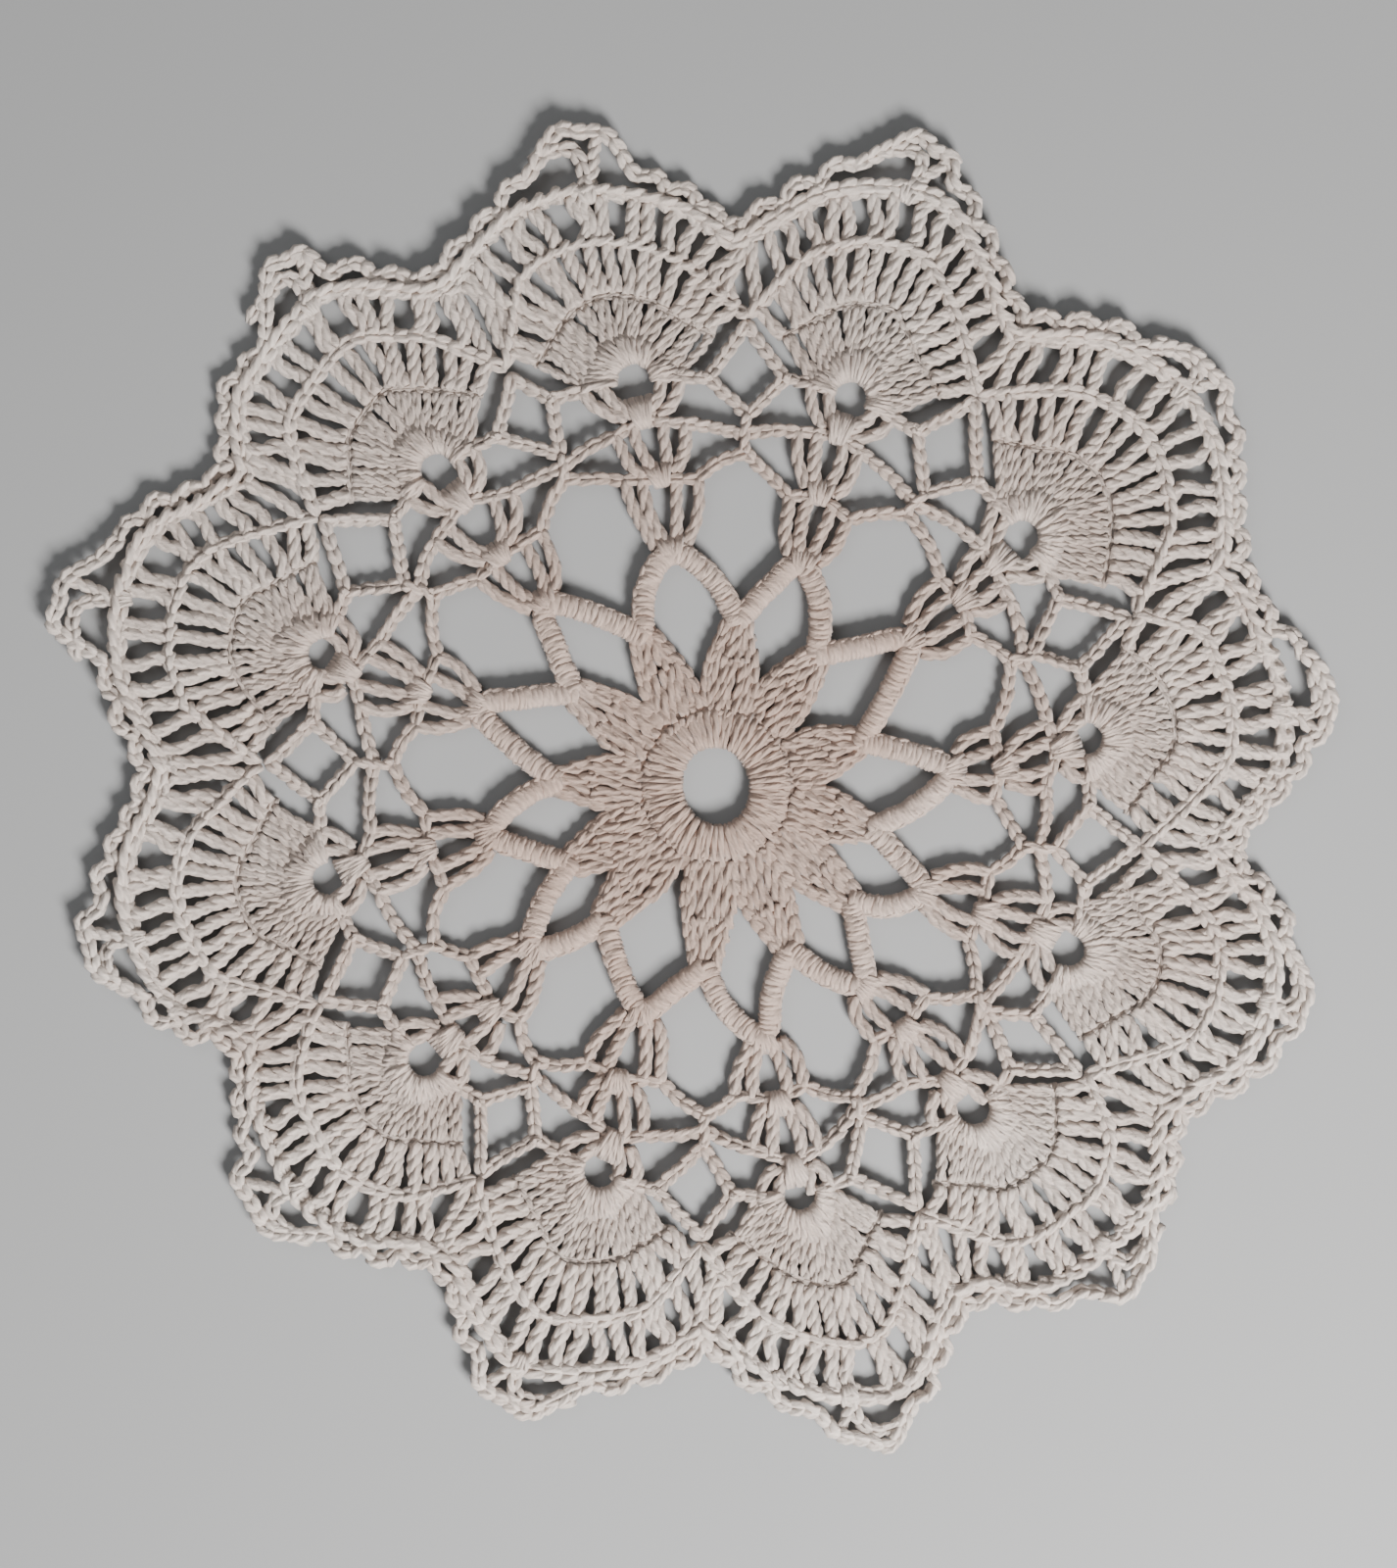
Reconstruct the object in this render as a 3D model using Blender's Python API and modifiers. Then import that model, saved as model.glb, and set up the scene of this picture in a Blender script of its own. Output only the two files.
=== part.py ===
"""A crocheted cotton lace doily, lying flat on a surface.

One openwork mat, worked in rounds: a centre ring, twelve shell-shaped petals, a round
of thick covered arches, three rounds of open net and twelve scallops. The rounds are
uneven, as the hand-worked mat is. Metres, +Z up; the origin is under the middle of the
mat, on the surface it lies on.
"""

import math
from collections import namedtuple

import bpy
from mathutils import Vector
from mathutils.geometry import delaunay_2d_cdt

# Real sizes in metres: the mat's width, and how thick each kind of work lies
DOILY_WIDTH = 0.1967
NET_THICKNESS = 0.0018
EDGE_THICKNESS = 0.0021
ROW_THICKNESS = 0.0026
ARCH_THICKNESS = 0.0030

# Real sizes in metres: half the widths of the strands and of a slit between posts
CHAIN_HALF = 0.00125
POST_HALF = 0.00125
TIP_HALF = 0.0010
ARCH_HALF = 0.0021
ARCH_REACH = 0.0028
PETAL_BASE_HALF = 0.0029
PETAL_TIP_HALF = 0.0021
SLIT_HALF = 0.0009

# Real sizes in metres: the centre ring, the scallops' hub holes and their picot edge
EYE_RADIUS = 0.0054
RING_RADIUS = 0.0136
RIDGE_RADIUS = 0.0128
HUB_RADIUS = 0.0026
SCALLOP_REACH = 0.0235
PICOT_REACH = 0.0037
PICOT_BUMP = 0.0005
MERGE = 0.0000001

# How far a strand's middle bows, as a share of its length
ARCH_BOW = 0.13
CHAIN_BOW = 0.10
FAN_BOW = 0.07

# How far a corner of an opening is cut back, as a share of the side
CORNER_CUT = 0.24

# The sine of the smallest angle at which two sides are taken to meet
LEAST_TURN = 0.15

# Places along a line, as a share of its length: where an arch's inner side is, a petal's
# raised point, a scallop's first outer corner, the strand inside a tip, a rim's two ends,
# and the two widest places of a slit
ARCH_UNDER = 0.8
PETAL_CREST = 0.78
FAN_CORNER = 0.62
TIP_HEART = 0.72
RIM_END = 0.08
SLIT_WIDEST = 0.25

# Where a scallop's rows end, as a share of the way from its hub to its rim
HUB_ROW = 0.43
BAND_ROW = 0.76
SLIT_START = 0.79
SLIT_END = 0.955

# Where a scallop's raised rows start and its slits come, as a share of the way round
ROW_START = 0.16
SLIT_PLACES = (0.24, 0.34, 0.43, 0.57, 0.66)

# Counts for one scallop
PICOTS = 11
PICOT_POINTS = 3
TIP_PLACE = 3
HUB_ROW_POINTS = 6
BAND_ROW_POINTS = 11

# Points on a smooth path from one table point to the next, and round a circle
RIM_STEPS = 4
EDGE_STEPS = 6
EYE_POINTS = 14
HUB_POINTS = 8
RIDGE_POINTS = 20

# The photograph's pixels: the mat's width, its middle, and the middle of its ring
WIDTH_PX = 1311
MIDDLE_PX = (706.4, 801.5)
RING_PX = (731, 802)

# One row for each column of stitches, clockwise from the top, in photograph pixels
Column = namedtuple("Column", "apex v1_left v1_right v2_base v2_left v2_right v3_base hub")
COLUMNS = [Column(*row) for row in (
    ((685, 565), (637, 492), (712, 490), (675, 490), (628, 446), (698, 433), (656, 431), (646, 385)),
    ((817, 577), (805, 507), (866, 530), (836, 508), (816, 441), (878, 462), (855, 447), (869, 403)),
    ((927, 655), (960, 592), (990, 650), (980, 613), (1003, 560), (1030, 613), (1013, 578), (1046, 545)),
    ((968, 787), (1013, 745), (1013, 815), (1021, 785), (1068, 738), (1066, 802), (1078, 765), (1112, 753)),
    ((940, 907), (1010, 890), (988, 957), (1000, 930), (1068, 920), (1040, 975), (1056, 947), (1094, 970)),
    ((880, 1003), (945, 1015), (893, 1060), (922, 1047), (985, 1078), (925, 1105), (965, 1100), (996, 1133)),
    ((780, 1057), (822, 1108), (750, 1118), (795, 1120), (835, 1172), (770, 1172), (810, 1185), (817, 1221)),
    ((655, 1030), (675, 1103), (600, 1083), (632, 1098), (657, 1158), (593, 1135), (628, 1160), (611, 1198)),
    ((545, 965), (530, 1040), (480, 977), (505, 1028), (490, 1078), (446, 1020), (465, 1055), (431, 1084)),
    ((503, 850), (455, 905), (435, 832), (438, 865), (388, 910), (380, 850), (369, 880), (332, 898)),
    ((490, 722), (425, 740), (447, 670), (432, 707), (368, 718), (388, 655), (360, 688), (328, 667)),
    ((557, 618), (490, 592), (552, 543), (511, 570), (445, 552), (522, 503), (475, 515), (444, 477)),
)]

# One row for each gap between a column and the next, in photograph pixels
Gap = namedtuple("Gap", "petal knot_in knot_out side_left side_right seam notch")
GAPS = [Gap(*row) for row in (
    ((753, 636), (760, 463), (763, 425), (724, 388), (802, 388), (762, 333), (763, 232)),
    ((832, 670), (925, 525), (943, 505), (935, 443), (996, 492), (993, 411), (1043, 335)),
    ((878, 757), (1030, 675), (1052, 668), (1080, 612), (1102, 682), (1148, 631), (1252, 575)),
    ((888, 845), (1042, 865), (1075, 865), (1110, 823), (1107, 902), (1159, 863), (1243, 863)),
    ((868, 918), (996, 1013), (1007, 1031), (1053, 1035), (1030, 1090), (1099, 1092), (1201, 1132)),
    ((805, 967), (871, 1118), (880, 1138), (930, 1157), (868, 1200), (935, 1228), (980, 1328)),
    ((720, 985), (720, 1137), (718, 1168), (747, 1217), (670, 1212), (716, 1260), (717, 1363)),
    ((617, 937), (547, 1082), (543, 1106), (548, 1160), (492, 1122), (492, 1195), (442, 1283)),
    ((583, 880), (443, 962), (413, 975), (390, 1027), (362, 957), (332, 1020), (248, 1074)),
    ((570, 797), (402, 779), (364, 778), (328, 817), (320, 737), (277, 779), (158, 787)),
    ((587, 707), (443, 608), (413, 598), (355, 605), (403, 531), (332, 532), (240, 479)),
    ((657, 650), (577, 491), (573, 466), (508, 447), (563, 409), (524, 387), (456, 277)),
)]

# One row for each scallop, around its rim, with the knot under its tip in the middle
Rim = namedtuple("Rim", "left low_left high_left knot high_right low_right right")
RIMS = [Rim(*row) for row in (
    ((487, 258), (520, 226), (562, 204), (600, 198), (650, 203), (700, 218), (748, 250)),
    ((790, 228), (835, 203), (885, 194), (928, 198), (965, 213), (998, 262), (1020, 318)),
    ((1075, 347), (1120, 350), (1165, 368), (1205, 400), (1230, 440), (1243, 490), (1245, 540)),
    ((1262, 605), (1285, 650), (1302, 690), (1307, 725), (1307, 765), (1290, 800), (1255, 838)),
    ((1253, 893), (1280, 925), (1297, 970), (1293, 1022), (1280, 1055), (1255, 1088), (1215, 1108)),
    ((1178, 1155), (1178, 1195), (1162, 1238), (1125, 1270), (1085, 1300), (1045, 1312), (1003, 1305)),
    ((955, 1350), (942, 1388), (915, 1417), (868, 1422), (820, 1413), (775, 1392), (738, 1362)),
    ((690, 1372), (650, 1390), (600, 1397), (532, 1390), (500, 1355), (482, 1325), (468, 1290)),
    ((425, 1264), (380, 1262), (340, 1246), (303, 1213), (278, 1163), (262, 1125), (262, 1085)),
    ((235, 1047), (188, 1033), (160, 1000), (140, 958), (128, 910), (137, 862), (158, 822)),
    ((150, 745), (135, 715), (122, 680), (125, 613), (142, 562), (170, 530), (212, 510)),
    ((247, 450), (247, 410), (262, 382), (318, 312), (355, 297), (400, 298), (440, 300)),
)]

# One row for each scallop: the two corners of its tip
Tip = namedtuple("Tip", "left right")
TIPS = [Tip(*row) for row in (
    ((565, 131), (613, 131)),
    ((935, 134), (976, 160)),
    ((1215, 355), (1255, 393)),
    ((1363, 715), (1352, 752)),
    ((1339, 1008), (1326, 1052)),
    ((1177, 1285), (1150, 1327)),
    ((912, 1478), (855, 1466)),
    ((540, 1446), (488, 1416)),
    ((275, 1260), (237, 1205)),
    ((98, 995), (80, 943)),
    ((52, 640), (63, 590)),
    ((270, 275), (308, 253)),
)]
COUNT = len(COLUMNS)

YARN_COLOUR = (0.66, 0.60, 0.55, 1.0)
YARN_ROUGHNESS = 0.85

Plan = namedtuple("Plan", "columns gaps rims tips middle")


def place(pixel):
    """The point on the mat, in metres, for a pixel of the photograph."""
    scale = DOILY_WIDTH / WIDTH_PX
    return Vector(((pixel[0] - MIDDLE_PX[0]) * scale, (MIDDLE_PX[1] - pixel[1]) * scale))


def lay_out():
    """The tables as points on the mat."""
    tables = []
    for rows in (COLUMNS, GAPS, RIMS, TIPS):
        tables.append([type(row)(*[place(pixel) for pixel in row]) for row in rows])
    return Plan(*tables, place(RING_PX))


def bowed(start, end, bow, away_from):
    """The middle of a strand that bows away from a point."""
    middle = (start + end) / 2
    side = Vector((start.y - end.y, end.x - start.x))
    if side.dot(middle - away_from) < 0:
        side = -side
    return middle + side * bow


def pushed(point, hub, reach):
    """The point moved straight away from a hub."""
    return point + (point - hub).normalized() * reach


def through(points, steps):
    """A smooth path through the points, with so many steps from one to the next."""
    path = []
    for i in range(len(points) - 1):
        before = points[max(i - 1, 0)]
        start = points[i]
        end = points[i + 1]
        after = points[min(i + 2, len(points) - 1)]
        for step in range(steps):
            t = step / steps
            drift = (end - before) * (t - 2 * t * t + t * t * t)
            drift += (after - start) * (t * t * t - t * t)
            path.append(start + (end - start) * (3 * t * t - 2 * t * t * t) + drift / 2)
    path.append(points[-1])
    return path


def twice_area(loop):
    return sum(a.x * b.y - b.x * a.y for a, b in zip(loop, loop[1:] + loop[:1]))


def inside(point, loop):
    """Whether a point lies within a closed loop."""
    within = False
    for a, b in zip(loop, loop[1:] + loop[:1]):
        if (a.y > point.y) != (b.y > point.y):
            if point.x < a.x + (point.y - a.y) * (b.x - a.x) / (b.y - a.y):
                within = not within
    return within


def meeting(side, after):
    """Where one side's line meets the next, or between them where they run on."""
    along = side[1] - side[0]
    other = after[1] - after[0]
    cross = along.cross(other)
    if abs(cross) < LEAST_TURN * along.length * other.length:
        return (side[1] + after[0]) / 2
    return side[0] + along * ((after[0] - side[0]).cross(other) / cross)


def hole(corners, halves):
    """The open shape left between strands.

    The corners are where the strands' middle lines meet. Each entry of halves is the
    half width of the strand that starts there, or a pair for one that tapers.
    """
    turn = 1 if twice_area(corners) > 0 else -1
    sides = []
    for i, half in enumerate(halves):
        start = corners[i]
        end = corners[(i + 1) % len(corners)]
        first, last = half if isinstance(half, tuple) else (half, half)
        inward = Vector((start.y - end.y, end.x - start.x)).normalized() * turn
        sides.append((start + inward * first, end + inward * last))
    while len(sides) > 2:
        shape = [meeting(side, after) for side, after in zip(sides[-1:] + sides[:-1], sides)]
        runs = zip(sides, shape, shape[1:] + shape[:1])
        squeezed = [side for side, a, b in runs if (b - a).dot(side[1] - side[0]) < 0]
        if not squeezed:
            break
        sides.remove(min(squeezed, key=lambda side: (side[1] - side[0]).length))
    return shape


def rounded(loop):
    """The loop with each corner cut back once."""
    shape = []
    for a, b in zip(loop, loop[1:] + loop[:1]):
        shape.append(a.lerp(b, CORNER_CUT))
        shape.append(b.lerp(a, CORNER_CUT))
    return shape


def circle(middle, radius, points, turn=0.0):
    angles = [turn + 2 * math.pi * i / points for i in range(points)]
    return [middle + Vector((math.cos(a), math.sin(a))) * radius for a in angles]


def arch_line(plan, k):
    """The middle line of the thick arch between two petal tips."""
    feet = (plan.gaps[k - 1].petal, plan.gaps[k].petal)
    apex = plan.columns[k].apex
    under = plan.middle.lerp(apex, ARCH_UNDER)
    legs = [bowed(foot, apex, ARCH_BOW, under) for foot in feet]
    return [feet[0], legs[0], apex, legs[1], feet[1]]


def scallop_rim(plan, k):
    """The smooth line of a scallop's last row, from one notch to the other."""
    hub = plan.columns[k].hub
    ends = [gap.notch.lerp(hub, RIM_END) for gap in (plan.gaps[k - 1], plan.gaps[k])]
    return through([ends[0], *plan.rims[k], ends[1]], RIM_STEPS)


def scallop_edge(plan, k):
    """A scallop's outer edge of little chain loops, from notch to notch."""
    hub = plan.columns[k].hub
    outer = [pushed(point, hub, PICOT_REACH) for point in plan.rims[k]]
    guide = [*outer[:TIP_PLACE], *plan.tips[k], *outer[TIP_PLACE + 1:]]
    path = [plan.gaps[k - 1].notch, *through(guide, EDGE_STEPS), plan.gaps[k].notch]
    edge = []
    for i in range(PICOTS * PICOT_POINTS):
        share = i / (PICOTS * PICOT_POINTS)
        at = share * (len(path) - 1)
        point = path[int(at)].lerp(path[int(at) + 1], at % 1)
        bump = PICOT_BUMP * (1 - math.cos(2 * math.pi * share * PICOTS)) / 2
        edge.append(pushed(point, hub, bump))
    return edge


def petal_hole(plan, k):
    """The tall opening under an arch, between two petals."""
    line = arch_line(plan, k)
    feet = [pushed(plan.middle, 2 * plan.middle - tip, RING_RADIUS) for tip in (line[0], line[-1])]
    petal = (PETAL_BASE_HALF, PETAL_TIP_HALF)
    return rounded(hole([feet[0], *line, feet[1]], [petal, *[ARCH_HALF] * 4, petal[::-1], 0.0]))


def wide_hole(plan, k):
    """The widest opening, over a petal tip and under the first net round."""
    far_k = (k + 1) % COUNT
    near = plan.columns[k]
    far = plan.columns[far_k]
    knot = plan.gaps[k].knot_in
    near_net = bowed(near.v1_right, knot, CHAIN_BOW, plan.middle)
    far_net = bowed(knot, far.v1_left, CHAIN_BOW, plan.middle)
    corners = [plan.gaps[k].petal, arch_line(plan, k)[3], near.apex, near.v1_right, near_net]
    corners += [knot, far_net, far.v1_left, far.apex, arch_line(plan, far_k)[1]]
    halves = [ARCH_HALF, ARCH_HALF, POST_HALF, CHAIN_HALF, CHAIN_HALF]
    return rounded(hole(corners, halves + halves[::-1]))


def diamond_hole(plan, k):
    """The opening at the outer end of the net, between two scallops."""
    gap = plan.gaps[k]
    corners = [gap.knot_out, gap.side_left, gap.seam, gap.side_right]
    return rounded(hole(corners, [CHAIN_HALF] * 4))


def net_holes(column, gap, low_corner, high_corner, side):
    """The three openings on one side of a column: two of net, one beside the scallop."""
    knot = gap.knot_in.lerp(gap.knot_out, 0.5)
    corner = column.hub.lerp(side, FAN_CORNER)
    fan = bowed(corner, gap.seam, FAN_BOW, gap.knot_out)
    low_halves = [CHAIN_HALF] * 3 + [POST_HALF] * 2
    low = hole([column.v2_base, low_corner, gap.knot_in, knot, high_corner], low_halves)
    high_halves = [POST_HALF] + [CHAIN_HALF] * 4 + [POST_HALF]
    high = hole([column.v3_base, high_corner, knot, gap.knot_out, side, corner], high_halves)
    beside = hole([corner, side, gap.seam, fan], [CHAIN_HALF, CHAIN_HALF, 0.0, 0.0])
    return [rounded(low), rounded(high), beside]


def tip_holes(plan, k):
    """The two openings inside the loop at a scallop's tip."""
    hub = plan.columns[k].hub
    rim = plan.rims[k]
    tip = plan.tips[k]
    heart = rim.knot.lerp((tip.left + tip.right) / 2, TIP_HEART)
    left = [rim.knot, rim.high_left, pushed(rim.high_left, hub, PICOT_REACH), tip.left, heart]
    right = [rim.knot, rim.high_right, pushed(rim.high_right, hub, PICOT_REACH), tip.right, heart]
    return [rounded(hole(corners, [TIP_HALF] * 5)) for corners in (left, right)]


def slits(plan, k):
    """The long open slits between the posts of a scallop's last row."""
    hub = plan.columns[k].hub
    rim = scallop_rim(plan, k)
    shapes = []
    for share in SLIT_PLACES:
        end = rim[round(share * (len(rim) - 1))]
        inner = hub.lerp(end, SLIT_START)
        outer = hub.lerp(end, SLIT_END)
        across = Vector((inner.y - outer.y, outer.x - inner.x)).normalized() * SLIT_HALF
        low = inner.lerp(outer, SLIT_WIDEST)
        high = outer.lerp(inner, SLIT_WIDEST)
        shapes.append([inner, low - across, high - across, outer, high + across, low + across])
    return shapes


def mat_outline(plan):
    return [point for k in range(COUNT) for point in scallop_edge(plan, k)]


def mat_openings(plan):
    """Every opening through the mat that is over about 4 mm long."""
    openings = [circle(plan.middle, EYE_RADIUS, EYE_POINTS)]
    for k in range(COUNT):
        column = plan.columns[k]
        before = plan.gaps[k - 1]
        after = plan.gaps[k]
        openings.append(petal_hole(plan, k))
        openings.append(wide_hole(plan, k))
        openings.append(diamond_hole(plan, k))
        openings += net_holes(column, before, column.v1_left, column.v2_left, before.side_right)
        openings += net_holes(column, after, column.v1_right, column.v2_right, after.side_left)
        openings.append(circle(column.hub, HUB_RADIUS, HUB_POINTS, k))
        openings += tip_holes(plan, k)
        openings += slits(plan, k)
    return openings


def mat_ridges(plan):
    """Points along the raised lines of the mat, each with its height."""
    ridges = [(point, ROW_THICKNESS) for point in circle(plan.middle, RIDGE_RADIUS, RIDGE_POINTS)]
    for k in range(COUNT):
        arch = through(arch_line(plan, k), 2)
        ridges += [(point, ARCH_THICKNESS) for point in arch[1:-1]]
        ridges.append((plan.middle.lerp(plan.gaps[k].petal, PETAL_CREST), ROW_THICKNESS))
        hub = plan.columns[k].hub
        rim = scallop_rim(plan, k)
        for row, points in ((HUB_ROW, HUB_ROW_POINTS), (BAND_ROW, BAND_ROW_POINTS)):
            for i in range(points):
                share = ROW_START + (1 - 2 * ROW_START) * i / (points - 1)
                end = rim[round(share * (len(rim) - 1))]
                ridges.append((hub.lerp(end, row), ROW_THICKNESS))
    return ridges


def flat_sheet(outline, openings, ridges):
    """A flat mesh of the mat's plan, with its openings left out."""
    points = []
    edges = []
    for loop in [outline, *openings]:
        first = len(points)
        edges += [(first + i, first + (i + 1) % len(loop)) for i in range(len(loop))]
        points += loop
    points += [point for point, height in ridges]
    spots, _, faces, *_ = delaunay_2d_cdt(points, edges, [], 0, MERGE)
    kept = []
    for face in faces:
        middle = (spots[face[0]] + spots[face[1]] + spots[face[2]]) / 3
        if inside(middle, outline) and not any(inside(middle, loop) for loop in openings):
            kept.append(face)
    mesh = bpy.data.meshes.new("doily_sheet")
    mesh.from_pydata([(spot.x, spot.y, 0.0) for spot in spots], [], kept)
    return mesh


def thicken(sheet):
    """The sheet as a closed solid that stands on its flat underside."""
    flat = bpy.data.objects.new("doily_plan", sheet)
    bpy.context.scene.collection.objects.link(flat)
    solid = flat.modifiers.new("thickness", "SOLIDIFY")
    solid.thickness = NET_THICKNESS
    solid.offset = 1.0
    graph = bpy.context.evaluated_depsgraph_get()
    mesh = bpy.data.meshes.new_from_object(flat.evaluated_get(graph))
    bpy.data.objects.remove(flat)
    bpy.data.meshes.remove(sheet)
    return mesh


def is_thick(spot, plan, arches):
    """Whether a spot is on the ring, on an arch or in a scallop."""
    if (spot - plan.middle).length < RING_RADIUS:
        return True
    if any((spot - row.hub).length < SCALLOP_REACH for row in plan.columns):
        return True
    return any((spot - point).length < ARCH_REACH for point in arches)


def raise_top(mesh, ridges, plan):
    """Lift the top: highest on the ridges, and lowest on the thin chains."""
    arches = []
    for k in range(COUNT):
        arches += through(arch_line(plan, k), EDGE_STEPS)
    crests = {(round(point.x, 6), round(point.y, 6)): height for point, height in ridges}
    for vertex in mesh.vertices:
        if vertex.co.z > NET_THICKNESS / 2:
            spot = vertex.co.xy
            height = EDGE_THICKNESS if is_thick(spot, plan, arches) else NET_THICKNESS
            vertex.co.z = crests.get((round(spot.x, 6), round(spot.y, 6)), height)


def yarn_material():
    material = bpy.data.materials.new("ecru_cotton")
    material.use_nodes = True
    shader = material.node_tree.nodes["Principled BSDF"]
    shader.inputs["Base Color"].default_value = YARN_COLOUR
    shader.inputs["Roughness"].default_value = YARN_ROUGHNESS
    shader.inputs["Metallic"].default_value = 0.0
    return material


def build():
    """Model the mat and put it in its own collection."""
    for item in list(bpy.data.objects):
        bpy.data.objects.remove(item)
    collection = bpy.data.collections.new("lace_doily")
    bpy.context.scene.collection.children.link(collection)
    plan = lay_out()
    ridges = mat_ridges(plan)
    mesh = thicken(flat_sheet(mat_outline(plan), mat_openings(plan), ridges))
    raise_top(mesh, ridges, plan)
    mesh.materials.clear()
    mesh.materials.append(yarn_material())
    collection.objects.link(bpy.data.objects.new("doily", mesh))


build()
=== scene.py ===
"""The look of a crocheted cotton lace doily: every stitch as plied yarn, laid on the frame.

The doily lies flat. Its pattern is worked from the middle out: a centre ring, twelve
petals, a round of covered arches, three rounds of open net and twelve scallops with a
picot edge. Tables hold where the rounds meet; functions work the stitches between them.
"""
import math
import random
from bisect import bisect
from collections import namedtuple

import bpy
import numpy as np
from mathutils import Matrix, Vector


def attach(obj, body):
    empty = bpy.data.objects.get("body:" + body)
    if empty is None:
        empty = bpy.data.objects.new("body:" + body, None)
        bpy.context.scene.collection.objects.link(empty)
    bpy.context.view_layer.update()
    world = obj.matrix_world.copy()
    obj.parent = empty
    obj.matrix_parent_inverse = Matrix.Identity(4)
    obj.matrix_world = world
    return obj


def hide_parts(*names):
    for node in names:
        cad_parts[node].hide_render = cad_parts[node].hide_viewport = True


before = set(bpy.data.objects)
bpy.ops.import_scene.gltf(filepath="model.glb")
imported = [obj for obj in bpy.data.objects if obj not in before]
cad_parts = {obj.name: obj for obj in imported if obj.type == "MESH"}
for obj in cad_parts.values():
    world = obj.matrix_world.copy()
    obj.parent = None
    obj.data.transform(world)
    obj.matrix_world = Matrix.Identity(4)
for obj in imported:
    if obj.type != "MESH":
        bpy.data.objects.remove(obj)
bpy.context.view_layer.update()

# The photograph's pixels: the mat's width, its middle, and the middle of its ring
WIDTH_PX = 1311
MIDDLE_PX = (706.4, 801.5)
RING_PX = (731, 802)

# One row for each column of stitches, clockwise from the top, in photograph pixels
Column = namedtuple("Column", "apex v1_left v1_right v2_base v2_left v2_right v3_base hub")
COLUMNS = [Column(*row) for row in (
    ((685, 565), (637, 492), (712, 490), (675, 490), (628, 446), (698, 433), (656, 431), (646, 385)),
    ((817, 577), (805, 507), (866, 530), (836, 508), (816, 441), (878, 462), (855, 447), (869, 403)),
    ((927, 655), (960, 592), (990, 650), (980, 613), (1003, 560), (1030, 613), (1013, 578), (1046, 545)),
    ((968, 787), (1013, 745), (1013, 815), (1021, 785), (1068, 738), (1066, 802), (1078, 765), (1112, 753)),
    ((940, 907), (1010, 890), (988, 957), (1000, 930), (1068, 920), (1040, 975), (1056, 947), (1094, 970)),
    ((880, 1003), (945, 1015), (893, 1060), (922, 1047), (985, 1078), (925, 1105), (965, 1100), (996, 1133)),
    ((780, 1057), (822, 1108), (750, 1118), (795, 1120), (835, 1172), (770, 1172), (810, 1185), (817, 1221)),
    ((655, 1030), (675, 1103), (600, 1083), (632, 1098), (657, 1158), (593, 1135), (628, 1160), (611, 1198)),
    ((545, 965), (530, 1040), (480, 977), (505, 1028), (490, 1078), (446, 1020), (465, 1055), (431, 1084)),
    ((503, 850), (455, 905), (435, 832), (438, 865), (388, 910), (380, 850), (369, 880), (332, 898)),
    ((490, 722), (425, 740), (447, 670), (432, 707), (368, 718), (388, 655), (360, 688), (328, 667)),
    ((557, 618), (490, 592), (552, 543), (511, 570), (445, 552), (522, 503), (475, 515), (444, 477)),
)]

# One row for each gap between a column and the next, in photograph pixels
Gap = namedtuple("Gap", "petal knot_in knot_out side_left side_right seam notch")
GAPS = [Gap(*row) for row in (
    ((753, 636), (760, 463), (763, 425), (724, 388), (802, 388), (762, 333), (763, 232)),
    ((832, 670), (925, 525), (943, 505), (935, 443), (996, 492), (993, 411), (1043, 335)),
    ((878, 757), (1030, 675), (1052, 668), (1080, 612), (1102, 682), (1148, 631), (1252, 575)),
    ((888, 845), (1042, 865), (1075, 865), (1110, 823), (1107, 902), (1159, 863), (1243, 863)),
    ((868, 918), (996, 1013), (1007, 1031), (1053, 1035), (1030, 1090), (1099, 1092), (1201, 1132)),
    ((805, 967), (871, 1118), (880, 1138), (930, 1157), (868, 1200), (935, 1228), (980, 1328)),
    ((720, 985), (720, 1137), (718, 1168), (747, 1217), (670, 1212), (716, 1260), (717, 1363)),
    ((617, 937), (547, 1082), (543, 1106), (548, 1160), (492, 1122), (492, 1195), (442, 1283)),
    ((583, 880), (443, 962), (413, 975), (390, 1027), (362, 957), (332, 1020), (248, 1074)),
    ((570, 797), (402, 779), (364, 778), (328, 817), (320, 737), (277, 779), (158, 787)),
    ((587, 707), (443, 608), (413, 598), (355, 605), (403, 531), (332, 532), (240, 479)),
    ((657, 650), (577, 491), (573, 466), (508, 447), (563, 409), (524, 387), (456, 277)),
)]

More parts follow.
